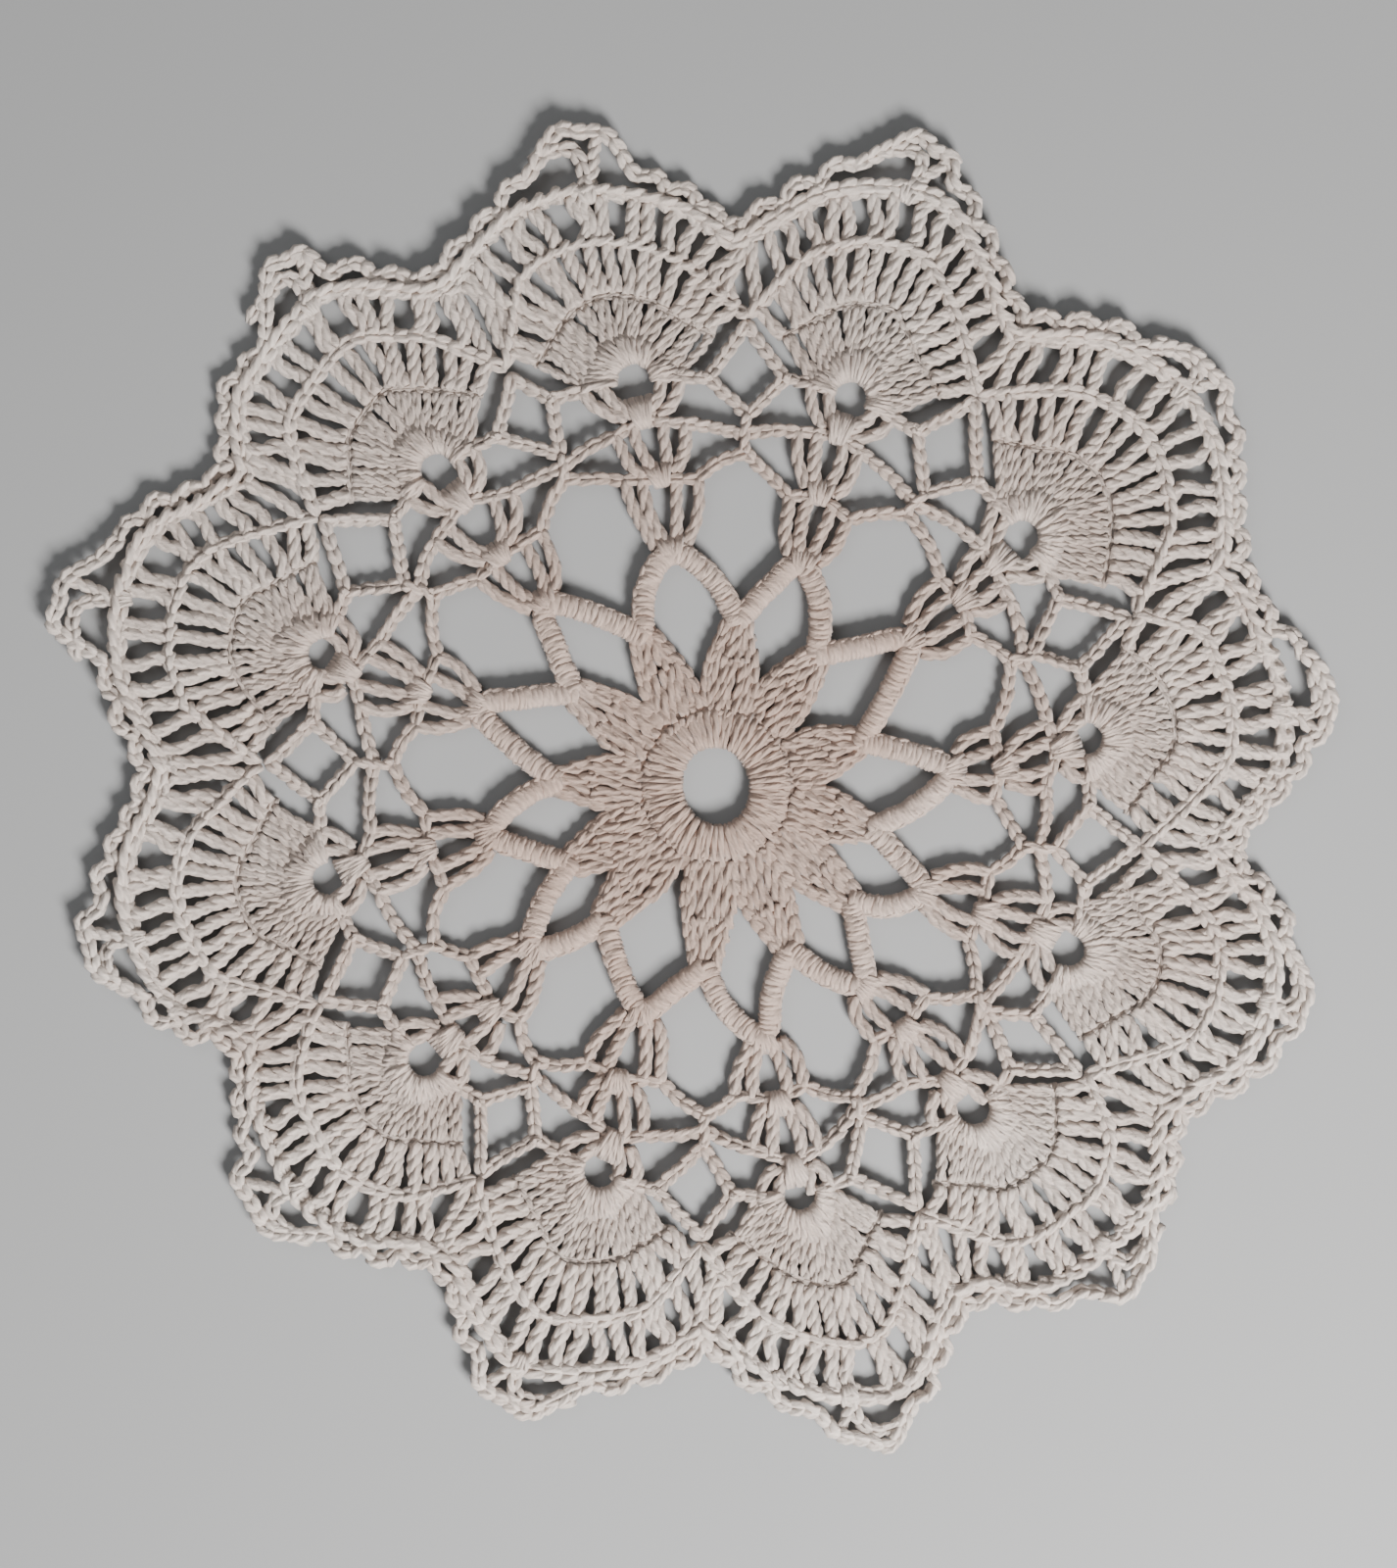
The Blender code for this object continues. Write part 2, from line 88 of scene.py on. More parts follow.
# One row for each scallop, around its rim, with the knot under its tip in the middle
Rim = namedtuple("Rim", "left low_left high_left knot high_right low_right right")
RIMS = [Rim(*row) for row in (
    ((487, 258), (520, 226), (562, 204), (600, 198), (650, 203), (700, 218), (748, 250)),
    ((790, 228), (835, 203), (885, 194), (928, 198), (965, 213), (998, 262), (1020, 318)),
    ((1075, 347), (1120, 350), (1165, 368), (1205, 400), (1230, 440), (1243, 490), (1245, 540)),
    ((1262, 605), (1285, 650), (1302, 690), (1307, 725), (1307, 765), (1290, 800), (1255, 838)),
    ((1253, 893), (1280, 925), (1297, 970), (1293, 1022), (1280, 1055), (1255, 1088), (1215, 1108)),
    ((1178, 1155), (1178, 1195), (1162, 1238), (1125, 1270), (1085, 1300), (1045, 1312), (1003, 1305)),
    ((955, 1350), (942, 1388), (915, 1417), (868, 1422), (820, 1413), (775, 1392), (738, 1362)),
    ((690, 1372), (650, 1390), (600, 1397), (532, 1390), (500, 1355), (482, 1325), (468, 1290)),
    ((425, 1264), (380, 1262), (340, 1246), (303, 1213), (278, 1163), (262, 1125), (262, 1085)),
    ((235, 1047), (188, 1033), (160, 1000), (140, 958), (128, 910), (137, 862), (158, 822)),
    ((150, 745), (135, 715), (122, 680), (125, 613), (142, 562), (170, 530), (212, 510)),
    ((247, 450), (247, 410), (262, 382), (318, 312), (355, 297), (400, 298), (440, 300)),
)]

# One row for each scallop: the two corners of its tip
Tip = namedtuple("Tip", "left right")
TIPS = [Tip(*row) for row in (
    ((565, 131), (613, 131)),
    ((935, 134), (976, 160)),
    ((1215, 355), (1255, 393)),
    ((1363, 715), (1352, 752)),
    ((1339, 1008), (1326, 1052)),
    ((1177, 1285), (1150, 1327)),
    ((912, 1478), (855, 1466)),
    ((540, 1446), (488, 1416)),
    ((275, 1260), (237, 1205)),
    ((98, 995), (80, 943)),
    ((52, 640), (63, 590)),
    ((270, 275), (308, 253)),
)]

# One row for each scallop: how far the edge on both sides of its tip bows outwards, in metres
Crown = namedtuple("Crown", "rise fall")
CROWNS = [Crown(*row) for row in (
    (-0.0004, 0.0010),
    (0.0002, -0.0006),
    (-0.0010, -0.0003),
    (0.0021, -0.0012),
    (0.0000, -0.0006),
    (-0.0010, -0.0006),
    (-0.0002, -0.0010),
    (-0.0012, -0.0004),
    (-0.0010, -0.0002),
    (-0.0008, -0.0012),
    (-0.0028, -0.0006),
    (-0.0028, -0.0022),
)]

# One row for each covered arch: how far its two legs bow outwards, as a share of their length
Bows = namedtuple("Bows", "left right")
BOWS = [Bows(*row) for row in (
    (0.14, 0.13),
    (0.05, 0.13),
    (0.02, 0.04),
    (0.05, 0.09),
    (0.04, 0.17),
    (0.02, 0.10),
    (-0.05, 0.13),
    (0.02, 0.05),
    (0.10, 0.09),
    (0.04, 0.11),
    (0.05, 0.02),
    (0.04, 0.06),
)]
COUNT = len(COLUMNS)

# Real sizes in metres: the yarn's radius, thick and thin, and the lace's width
DOILY_WIDTH = 0.1967
YARN = 0.00060
SOFT_YARN = 0.00055
FINE_YARN = 0.00042

# Real sizes in metres of the stitches: how long each is, and half the space between strands
CHAIN_STEP = 0.0021
CHAIN_HALF = 0.00055
POST_HALF = 0.00048
POST_TURN = 0.0045
POST_STEP = 0.00070
POST_WOBBLE = 0.28
WRAP_STEP = 0.00074
WRAP_HALF = 0.00120
WRAP_YARN = 0.00068
WRAP_RISE = 0.00075
WRAP_POINTS = 10
WRAP_PAIR = -0.14
CORE_YARN = 0.00105

# Heights in metres of the middle of each kind of work
CHAIN_LIFT = 0.00120
POST_LIFT = 0.00120
WRAP_LIFT = 0.00152

# Real sizes in metres of the ring: its hole, its tiers and its rim
RING_EYE = 0.0058
RING_FOLD = 0.0098
RING_BAND = 0.0114
RING_GROOVE = 0.0119
RING_RIM = 0.0130
RING_BEDS = (0.0070, 0.0082, 0.0094, 0.0106, 0.0119, 0.0130)
RING_FILL = ((0.0072, 0.00170), (0.0085, 0.00195), (0.0098, 0.00185), (0.0112, 0.00150))
RING_BED_LIFT = 0.00095
RING_BED_YARN = 0.00085
RING_OVAL = 0.07
RING_LEAN = 1.74

# Real sizes in metres of the hub holes, the petals and the edge
HUB_EYE = 0.0028
HUB_DROP = 0.0007
PETAL_BASE_HALF = 0.0027
PETAL_WAIST_HALF = 0.0028
PETAL_TIP_HALF = 0.0014
EDGE_REACH = 0.0015
EDGE_BUMP = 0.0016
EDGE_WAVE = 0.0054
EDGE_YARN = 0.00066
EDGE_HALF = 0.00060
CROWN_REACH = 0.0030
CROWN_HALF = 0.00064
CROWN_YARN = 0.00068
TIP_INSET = 0.0011

# How far a net chain's middle bows, as a share of its length
CHAIN_BOW = 0.06

# Real sizes in metres of a vee: its bulge, between heads, between feet, and its yarn
VEE_BOW = 0.0008
VEE_GAP = 0.0030
VEE_FOOT = 0.0012
VEE_YARN = 0.00066
VEE_HALF = 0.00054
VEE_TURN = 0.0075

# Real sizes in metres of gathered strands: under the bar, over it, half their width, their yarn
GATHER_YARN = 0.00045
VEE_GATHER = (0.0010, 0.0025, 0.0015)
HUB_GATHER = (0.0010, 0.0036, 0.0013)
ROW_GATHER = (0.0016, 0.0011, 0.0010)

# Counts of stitches
RING_POSTS = 56
HUB_FANS = 24

# How much the yarn's thickness comes and goes, as a share, and how fast for each centimetre
SWELL = 0.10
SWELL_RATE = 26.0

# How high a strand's middle stays above the floor, in yarn radii
LOWEST = 1.2

# Real sizes in metres of the soft swells in which it lies: their height and their reach
RIPPLE = 0.0012
RIPPLE_SPAN = 0.016

# How finely the shapes are made: steps between two points of a line, and sides of a strand
LINE_STEPS = 8
SIDES = 6
SEED = 11
UV_SCALE = 100.0

# One side of a chain loop: steps along, half widths across and yarn radii up
Bend = namedtuple("Bend", "along across up")
LOOP = [Bend(*row) for row in (
    (-0.15, 0.20, -0.85),
    (0.12, 0.50, 0.35),
    (0.45, 0.95, 0.70),
    (0.82, 1.05, 0.25),
    (1.12, 0.62, -0.55),
)]

# How a strand bends over a loop of yarn: reach along the stitch and height, in metres
Hook = namedtuple("Hook", "reach lift")
HOOKS = [Hook(*row) for row in (
    (0.0013, 0.00065),
    (0.0002, 0.00070),
    (0.0000, 0.0013),
    (0.0003, 0.0020),
    (0.0011, 0.0023),
)]

# A strand gathered over a bar: share of its reach, share of its width, and height in metres
Bar = namedtuple("Bar", "along across lift")
GATHERS = [Bar(*row) for row in (
    (0.12, 0.55, 0.0007),
    (0.00, 0.58, 0.0014),
    (0.08, 0.66, 0.0022),
    (0.30, 0.85, 0.0026),
    (0.60, 1.10, 0.0023),
    (1.00, 1.45, 0.0013),
)]

# A scallop's rows of posts: from hub to rim, how many, their yarn, how far they wander and stray
Row = namedtuple("Row", "start end posts half yarn wander stray strands turn")
ROWS = [Row(*row) for row in (
    (0.18, 0.422, 26, 0.00040, 0.00051, 0.0002, 0.008, 2, 0.0045),
    (0.450, 0.725, 17, 0.00060, 0.00069, 0.0005, 0.010, 3, 0.0070),
    (0.745, 0.975, 16, 0.00060, 0.00070, 0.0009, 0.018, 3, 0.0070),
)]

# The chains of heads along a scallop's rows
Heads = namedtuple("Heads", "share lift step half yarn roll")
HEADS = [Heads(*row) for row in (
    (0.435, 0.00105, 0.0019, 0.00028, 0.00036, 0.20),
    (0.734, 0.00150, 0.0022, 0.00056, 0.00062, 0.70),
    (0.982, 0.00130, 0.0024, 0.00050, 0.00062, 1.60),
    (1.008, 0.00160, 0.0026, 0.00068, 0.00072, 1.30),
)]

# Where a scallop's side is at each share of the way from hub to rim
Side = namedtuple("Side", "share corner seam notch")
SIDES_OF_ROWS = [Side(*row) for row in (
    (0.20, 1.00, 0.00, 0.00),
    (0.43, 0.52, 0.30, 0.18),
    (0.76, 0.00, 0.88, 0.12),
    (1.00, 0.00, 0.12, 0.88),
)]

Plan = namedtuple("Plan", "columns gaps rims tips middle")

dice = random.Random(SEED)


def place(pixel):
    """The point on the mat, in metres, for a pixel of the photograph."""
    scale = DOILY_WIDTH / WIDTH_PX
    return Vector(((pixel[0] - MIDDLE_PX[0]) * scale, (MIDDLE_PX[1] - pixel[1]) * scale))


def lay_out():
    """The tables as points on the mat."""
    tables = []
    for rows in (COLUMNS, GAPS, RIMS, TIPS):
        tables.append([type(row)(*[place(pixel) for pixel in row]) for row in rows])
    return Plan(*tables, place(RING_PX))


def uneven(amount):
    return dice.uniform(-amount, amount)


def jogged(point, amount=0.00012):
    return point + Vector((uneven(amount), uneven(amount)))


def bowed(start, end, bow, away_from):
    """The middle of a strand that bows away from a point."""
    middle = (start + end) / 2
    side = Vector((start.y - end.y, end.x - start.x))
    if side.dot(middle - away_from) < 0:
        side = -side
    return middle + side * bow


def pushed(point, hub, reach):
    """The point moved straight away from a hub."""
    return point + (point - hub).normalized() * reach


def turned(angle):
    return Vector((math.cos(angle), math.sin(angle)))


def solid(spot, lift):
    return Vector((spot.x, spot.y, lift))


def through(points, steps):
    """A smooth path through the points, with so many steps from one to the next."""
    path = []
    for i in range(len(points) - 1):
        before = points[max(i - 1, 0)]
        start = points[i]
        end = points[i + 1]
        after = points[min(i + 2, len(points) - 1)]
        for step in range(steps):
            t = step / steps
            drift = (end - before) * (t - 2 * t * t + t * t * t)
            drift += (after - start) * (t * t * t - t * t)
            path.append(start + (end - start) * (3 * t * t - 2 * t * t * t) + drift / 2)
    path.append(points[-1])
    return path


class Line:
    """A smooth line on the mat that can be read at any distance along it."""

    def __init__(self, points):
        self.path = through(points, LINE_STEPS)
        self.marks = [0.0]
        for a, b in zip(self.path, self.path[1:]):
            self.marks.append(self.marks[-1] + (b - a).length)
        self.length = self.marks[-1]

    def at(self, distance):
        """The point there, and the direction of the line."""
        i = min(max(bisect(self.marks, distance) - 1, 0), len(self.path) - 2)
        run = self.path[i + 1] - self.path[i]
        along = run.normalized()
        return self.path[i] + along * (distance - self.marks[i]), along

    def share(self, part):
        return self.at(part * self.length)[0]

    def step(self, part):
        """How many of its steps a share of its length comes to."""
        distance = part * self.length
        i = min(max(bisect(self.marks, distance) - 1, 0), len(self.path) - 2)
        return i + (distance - self.marks[i]) / (self.marks[i + 1] - self.marks[i])

    def spot(self, step):
        """The point so many steps along."""
        i = min(max(int(step), 0), len(self.path) - 2)
        return self.path[i] + (self.path[i + 1] - self.path[i]) * (step - i)


class Skein:
    """Strands of yarn gathered for one piece."""

    def __init__(self):
        self.strands = []

    def add(self, points, radius, closed=False):
        self.strands.append((points, radius, closed, dice.random()))

    def piece(self, name, material):
        """One mesh of all the strands, with its lengthwise measure in the UV map."""
        spots = []
        faces = []
        marks = []
        tones = []
        shade_heights = []
        turns = [2 * math.pi * k / SIDES for k in range(SIDES)]
        spokes = [(math.cos(turn), math.sin(turn)) for turn in turns]
        for points, radius, closed, tone in self.strands:
            first = len(spots)
            count = len(points)
            travel = [tone]
            for i in range(count - 1 + closed):
                travel.append(travel[-1] + (points[(i + 1) % count] - points[i]).length * UV_SCALE)
            for (u, v), point, far in zip(frames_along(points, closed), points, travel):
                thick = radius * (1 + SWELL * math.sin(SWELL_RATE * far + 40 * tone))
                rise = Vector((0, 0, ripple(point)))
                around = [point + (u * c + v * s) * thick for c, s in spokes]
                spots += [spot + rise for spot in around]
                shade_heights += [spot.z for spot in around]
            for i in range(count - 1 + closed):
                low = first + i * SIDES
                high = first + (i + 1) % count * SIDES
                for k in range(SIDES):
                    after = (k + 1) % SIDES
                    faces.append((low + k, low + after, high + after, high + k))
                    marks += [(k, travel[i]), (k + 1, travel[i]), (k + 1, travel[i + 1]), (k, travel[i + 1])]
                    tones += [tone] * 4
            if not closed:
                high = first + (count - 1) * SIDES
                faces.append(tuple(range(first + SIDES - 1, first - 1, -1)))
                faces.append(tuple(range(high, high + SIDES)))
                marks += [(0, travel[0])] * SIDES + [(0, travel[-1])] * SIDES
                tones += [tone] * (2 * SIDES)
        mesh = bpy.data.meshes.new(name)
        mesh.from_pydata(spots, [], faces)
        layer = mesh.uv_layers.new(name="yarn")
        layer.data.foreach_set("uv", np.array([(k / SIDES, far) for k, far in marks]).ravel())
        paint = mesh.attributes.new("tone", "FLOAT", "CORNER")
        paint.data.foreach_set("value", np.array(tones))
        # Each point's height above its bed, without the ripple; the yarn material turns it into painted shade on the
        # lower strands
        shade_height = mesh.attributes.new("shade_height", "FLOAT", "POINT")
        shade_height.data.foreach_set("value", np.array(shade_heights))
        mesh.shade_smooth()
        mesh.materials.append(material)
        piece = bpy.data.objects.new(name, mesh)
        bpy.context.scene.collection.objects.link(piece)
        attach(piece, "root")
        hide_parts("doily")
        return piece


def ripple(point):
    """How far the soft work stands off its bed there: it never lies quite flat."""
    x, y = point.x / RIPPLE_SPAN, point.y / RIPPLE_SPAN
    swell = math.sin(x + 0.7 * y + 0.4) + math.sin(1.7 * y - 0.6 * x + 2.0) + math.sin(2.3 * x - 1.1 * y)
    reach = min(1.0, math.hypot(point.x, point.y) / (DOILY_WIDTH / 2))
    return RIPPLE * (0.5 + swell / 6) * (0.4 + 0.6 * reach * reach)


def frames_along(points, closed):
    """Two directions across a strand at each of its points."""
    last = len(points) - 1
    frames = []
    side = None
    for i, point in enumerate(points):
        before = points[i - 1] if i or closed else point
        after = points[(i + 1) % (last + 1)] if i < last or closed else point
        along = (after - before).normalized()
        if side is None:
            side = along.orthogonal()
        side = (side - along * side.dot(along)).normalized()
        frames.append((side.copy(), along.cross(side)))
    return frames


def chain(skein, points, lift=CHAIN_LIFT, step=CHAIN_STEP, half=CHAIN_HALF, yarn=YARN, roll=0.5):
    """A run of chain stitches: loops that each come up through the one before."""
    line = Line(points)
    count = max(1, round(line.length / step))
    step = line.length / count
    tilt = uneven(roll)
    for i in range(count):
        tilt += uneven(roll * 0.4)
        width = half * (1 + uneven(0.10))
        sway = uneven(0.00010)
        path = []
        for side, bends in ((1, LOOP), (-1, LOOP[::-1])):
            for bend in bends:
                spot, along = line.at((i + bend.along) * step)
                across = Vector((-along.y, along.x))
                out = side * bend.across * width
                up = bend.up * yarn
                flat = out * math.cos(tilt) - up * math.sin(tilt) + sway
                rise = out * math.sin(tilt) + up * math.cos(tilt)
                path.append(solid(spot + across * flat, max(lift + rise, yarn * LOWEST)))
        skein.add(path, yarn * (1 + uneven(0.05)))


def post(skein, foot, head, lift=POST_LIFT, half=POST_HALF, yarn=SOFT_YARN, loose=0.05, bow=0.0, wander=0.00030,
         turn=POST_TURN, strands=2):
    """A tall stitch: strands that twist from its foot to its head."""
    run = head - foot
    along = run.normalized()
    across = Vector((-along.y, along.x))
    steps = max(5, round(run.length / POST_STEP))
    turns = run.length / turn * (1 + uneven(0.30))
    phase = uneven(1.6)
    lean = uneven(wander)
    snake = uneven(wander * 0.7)
    rise = lift + uneven(0.00012)
    wide = half * (1 + uneven(0.15))
    for strand in range(strands):
        path = []
        for i in range(steps + 1):
            t = i / steps
            twist = max(0.0, (t - loose) / (1 - loose))
            angle = phase + 2 * math.pi * (strand / strands + turns * twist) + uneven(POST_WOBBLE)
            spread = wide * (1 - 0.2 * t)
            sway = (bow + lean) * math.sin(math.pi * t) + snake * math.sin(2 * math.pi * t)
            spot = foot + run * t + across * (spread * math.cos(angle) + sway)
            path.append(solid(spot, max(rise + spread * 0.85 * math.sin(angle), yarn * LOWEST)))
        skein.add(path, yarn * (1 + uneven(0.08)))


def gather(skein, spot, along, sizes, count):
    """Strands side by side that come up over a bar and fan out into the stitches above it."""
    down, up, half = sizes
    across = Vector((-along.y, along.x))
    for i in range(count):
        shift = (2 * i / (count - 1) - 1 + uneven(0.14)) * half
        path = []
        for bar in GATHERS:
            reach = (down + up) * bar.along - down
            path.append(solid(spot + along * reach + across * shift * bar.across, bar.lift))
        skein.add(path, GATHER_YARN * (1 + uneven(0.12)))


def ring_spot(plan, angle, radius):
    """A point round the ring, whose hole is a little oval."""
    oval = RING_OVAL * math.cos(2 * (angle - RING_LEAN)) * (RING_RIM - radius) / (RING_RIM - RING_EYE)
    return plan.middle + turned(angle) * (radius * (1 + oval))


def work_ring(skein, plan):
    """The centre ring: stitches over a loop of yarn, and a second tier of short ones."""
    for i in range(RING_POSTS):
        angle = 2 * math.pi * (i + uneven(0.25)) / RING_POSTS
        hook_over(skein, ring_spot(plan, angle, RING_EYE), ring_spot(plan, angle + uneven(0.03), RING_BAND), 0.00050)
        angle = 2 * math.pi * (i + 0.5 + uneven(0.15)) / RING_POSTS
        fill = [solid(ring_spot(plan, angle, radius), lift) for radius, lift in RING_FILL]
        skein.add(fill, 0.00052 * (1 + uneven(0.10)))
        foot = ring_spot(plan, angle, RING_FOLD)
        head = ring_spot(plan, angle - 0.03, RING_BAND)
        post(skein, foot, head, lift=0.00155, half=0.00034, yarn=0.00048, loose=0.0, wander=0.0001)
    for radius in RING_BEDS:
        bed = [ring_spot(plan, 2 * math.pi * i / 48, radius) for i in range(48)]
        skein.add([solid(spot, RING_BED_LIFT) for spot in bed], RING_BED_YARN, closed=True)


def hook_over(skein, foot, head, yarn=0.00046):
    """A straight strand that comes round a loop of yarn at its foot and runs to its head."""
    run = head - foot
    along = run.normalized()
    across = Vector((-along.y, along.x))
    over = uneven(0.00025)
    path = [solid(foot + along * hook.reach, hook.lift + over * (hook.lift > 0.001)) for hook in HOOKS]
    for share, lift in ((0.42, 0.0022), (0.62, 0.0021), (0.82, 0.0019)):
        path.append(solid(foot + run * share + across * uneven(0.00015), lift + over))
    path.append(solid(head + along * (0.0006 + uneven(0.0003)), 0.0014))
    skein.add(path, yarn * (1 + uneven(0.10)))


def work_petal(skein, plan, k):
    """A petal: two rows of posts that narrow to its tip, edged by chains."""
    tip = plan.gaps[k].petal
    along = (tip - plan.middle).normalized()
    across = Vector((-along.y, along.x))
    base = plan.middle + along * (RING_GROOVE + 0.0001)
    waist = base.lerp(tip, 0.56)
    tiers = (
        (base, waist, PETAL_BASE_HALF, PETAL_WAIST_HALF, 5),
        (waist, tip, PETAL_WAIST_HALF, PETAL_TIP_HALF, 4),
    )
    for start, end, start_half, end_half, posts in tiers:
        for i in range(posts):
            shift = 2 * i / (posts - 1) - 1
            overlap = (end - start) * 0.06
            foot = jogged(start + across * shift * start_half, 0.0003) - overlap
            head = jogged(end + across * shift * end_half, 0.0003) + overlap
            post(skein, foot, head, lift=0.0014, half=0.00045, yarn=0.00058, bow=shift * -0.0004, turn=0.0066)
            bed = [solid(foot, 0.00098), solid(foot.lerp(head, 0.5), 0.00098), solid(head, 0.00098)]
            skein.add(bed, 0.00085)
    for side in (-1, 1):
        edge = [base + across * side * (PETAL_BASE_HALF + 0.0003)]
        edge.append(base.lerp(waist, 0.7) + across * side * (PETAL_WAIST_HALF + 0.0009))
        edge.append(tip + across * side * (PETAL_TIP_HALF + 0.0003))
        chain(skein, edge, lift=0.0013, step=0.0023, half=0.00040, yarn=SOFT_YARN, roll=0.8)


def arch_line(plan, k):
    """The middle line of the thick arch between two petal tips."""
    feet = (plan.gaps[k - 1].petal, plan.gaps[k].petal)
    apex = plan.columns[k].apex
    under = plan.middle.lerp(apex, 0.8)
    legs = [bowed(foot, apex, bow, under) for foot, bow in zip(feet, BOWS[k])]
    return [feet[0], legs[0], apex, legs[1], feet[1]]


def wrap(skein, middle, along, slant):
    """One strand all the way round a bar."""
    across = Vector((-along.y, along.x))
    path = []
    for i in range(WRAP_POINTS):
        angle = 2 * math.pi * i / WRAP_POINTS
        spot = middle + across * (WRAP_HALF * math.cos(angle)) + along * (slant * math.sin(angle))
        path.append(solid(spot, WRAP_LIFT + WRAP_RISE * math.sin(angle)))
    skein.add(path, WRAP_YARN * (1 + uneven(0.06)), closed=True)


def work_arch(skein, plan, k):
    """A covered arch: wraps round its bar, and a chain of heads along its outer side."""
    line = Line(arch_line(plan, k))
    count = round(line.length / WRAP_STEP)
    for i in range(count):
        spot, along = line.at((i + 0.5 + WRAP_PAIR * (i % 2)) * line.length / count)
        wrap(skein, jogged(spot, 0.00008), along, 0.00040 + uneven(0.00020))
    core = [solid(line.share(i / 20), WRAP_LIFT) for i in range(21)]
    skein.add(core, CORE_YARN)
    heads = []
    for i in range(13):
        spot, along = line.at(i * line.length / 12)
        heads.append(spot + Vector((-along.y, along.x)) * (WRAP_HALF * 0.9))
    chain(skein, heads, lift=0.0018, step=0.0018, half=0.00036, yarn=FINE_YARN, roll=0.2)


def vee_posts(skein, base, corner, shift, side):
    """Two tall stitches side by side, bulging outwards, with the outer one at the corner."""
    across = (corner[1] - corner[0]).normalized()
    for i in (0, 1):
        head = corner[0] + across * (VEE_GAP * i)
        foot = base + shift * (1.5 - i) * VEE_FOOT + (head - base).normalized() * 0.0008
        bow = side * VEE_BOW * (1 - 0.5 * i)
        post(skein, jogged(foot), jogged(head), half=VEE_HALF, yarn=VEE_YARN, bow=bow, turn=VEE_TURN, strands=3)


def work_vee(skein, base, left, right, top):
    """Two pairs of tall stitches from one place, with a chain between the pairs."""
    across = (left - right).normalized()
    vee_posts(skein, base, (left, top), across, 1)
    vee_posts(skein, base, (right, top), -across, -1)
    gather(skein, base, ((left + right) / 2 - base).normalized(), VEE_GATHER, 7)
    span = [left, left + (top - left).normalized() * VEE_GAP, top]
    span += [right + (top - right).normalized() * VEE_GAP, right]
    chain(skein, span, lift=0.0013, half=0.00048, yarn=SOFT_YARN)


def hub_corners(plan, k):
    """A scallop's two lowest corners, where its column's last stitches end."""
    column = plan.columns[k]
    sides = (plan.gaps[k - 1].side_right, plan.gaps[k].side_left)
    return [column.hub.lerp(side, 0.62) for side in sides]


def work_column(skein, plan, k):
    """Three vees on top of each other, from an arch up to a scallop's hub."""
    column = plan.columns[k]
    left, right = hub_corners(plan, k)
    work_vee(skein, column.apex, column.v1_left, column.v1_right, column.v2_base)
    work_vee(skein, column.v2_base, column.v2_left, column.v2_right, column.v3_base)
    across = (left - right).normalized()
    for corner, side in ((left, 1), (right, -1)):
        inner = pushed(column.hub, column.hub * 2 - corner, HUB_EYE * 1.2)
        vee_posts(skein, column.v3_base, (corner, inner), across * side, side)
        chain(skein, [inner, corner], lift=0.0015, step=0.0020, half=0.00045, yarn=SOFT_YARN)
    gather(skein, column.v3_base, (column.hub - column.v3_base).normalized(), HUB_GATHER, 7)


def work_net(skein, plan, k):
    """The open net in the gap between two columns."""
    near = plan.columns[k]
    far = plan.columns[(k + 1) % COUNT]
    gap = plan.gaps[k]
    knot = gap.knot_in.lerp(gap.knot_out, 0.5)
    for corner in (near.v1_right, far.v1_left):
        bow = CHAIN_BOW * (1 + uneven(0.6))
        chain(skein, [corner, bowed(corner, gap.knot_in, bow, plan.middle), gap.knot_in])
    for corner in (near.v2_right, far.v2_left):
        bow = CHAIN_BOW * (0.6 + uneven(0.4))
        chain(skein, [corner, bowed(corner, knot, bow, plan.middle), knot])
    post(skein, gap.knot_in, gap.knot_out, lift=0.0018, half=0.00045, yarn=SOFT_YARN)
    near_corner = hub_corners(plan, k)[1]
    far_corner = hub_corners(plan, (k + 1) % COUNT)[0]
    for side, corner in ((gap.side_left, near_corner), (gap.side_right, far_corner)):
        chain(skein, [gap.knot_out, gap.knot_out.lerp(side, 0.5), side])
        chain(skein, [corner, corner.lerp(side, 0.5), side])
        chain(skein, [side, side.lerp(gap.seam, 0.5), gap.seam])
        bar = jogged(side.lerp(gap.seam, 0.04))
        post(skein, side.lerp(corner, 0.15), bar, lift=0.0018, half=0.0004, yarn=SOFT_YARN)


def side_spot(plan, k, end, share):
    """Where a scallop's side is, at a share of the way from its hub to its rim."""
    gap = plan.gaps[k - 1] if end == 0 else plan.gaps[k]
    corner = hub_corners(plan, k)[end]
    low, high = SIDES_OF_ROWS[0], SIDES_OF_ROWS[1]
    for before, after in zip(SIDES_OF_ROWS, SIDES_OF_ROWS[1:]):
        if before.share <= share:
            low, high = before, after
    t = (share - low.share) / (high.share - low.share)
    weights = [a + (b - a) * t for a, b in zip(low[1:], high[1:])]
    return corner * weights[0] + gap.seam * weights[1] + gap.notch * weights[2]


def row_line(plan, k, share):
    """The line on which a scallop's row starts or ends."""
    hub = plan.columns[k].hub
    spots = [hub.lerp(point, share) for point in plan.rims[k]]
    return Line([side_spot(plan, k, 0, share), *spots, side_spot(plan, k, 1, share)])


def hub_arc(plan, k):
    """The line round the outer side of a hub's hole."""
    hub = plan.columns[k].hub
    left, right = [corner - hub for corner in hub_corners(plan, k)]
    out = (plan.rims[k].knot - hub).normalized()
    half_turns = (left.angle_signed(out), right.angle_signed(out))
    angles = [math.atan2(out.y, out.x) + half_turns[0] * (1 - i / 4) for i in range(4)]
    angles += [math.atan2(out.y, out.x) + half_turns[1] * i / 4 for i in range(5)]
    eye = hub - out * HUB_DROP
    return Line([eye + turned(angle) * HUB_EYE for angle in angles])


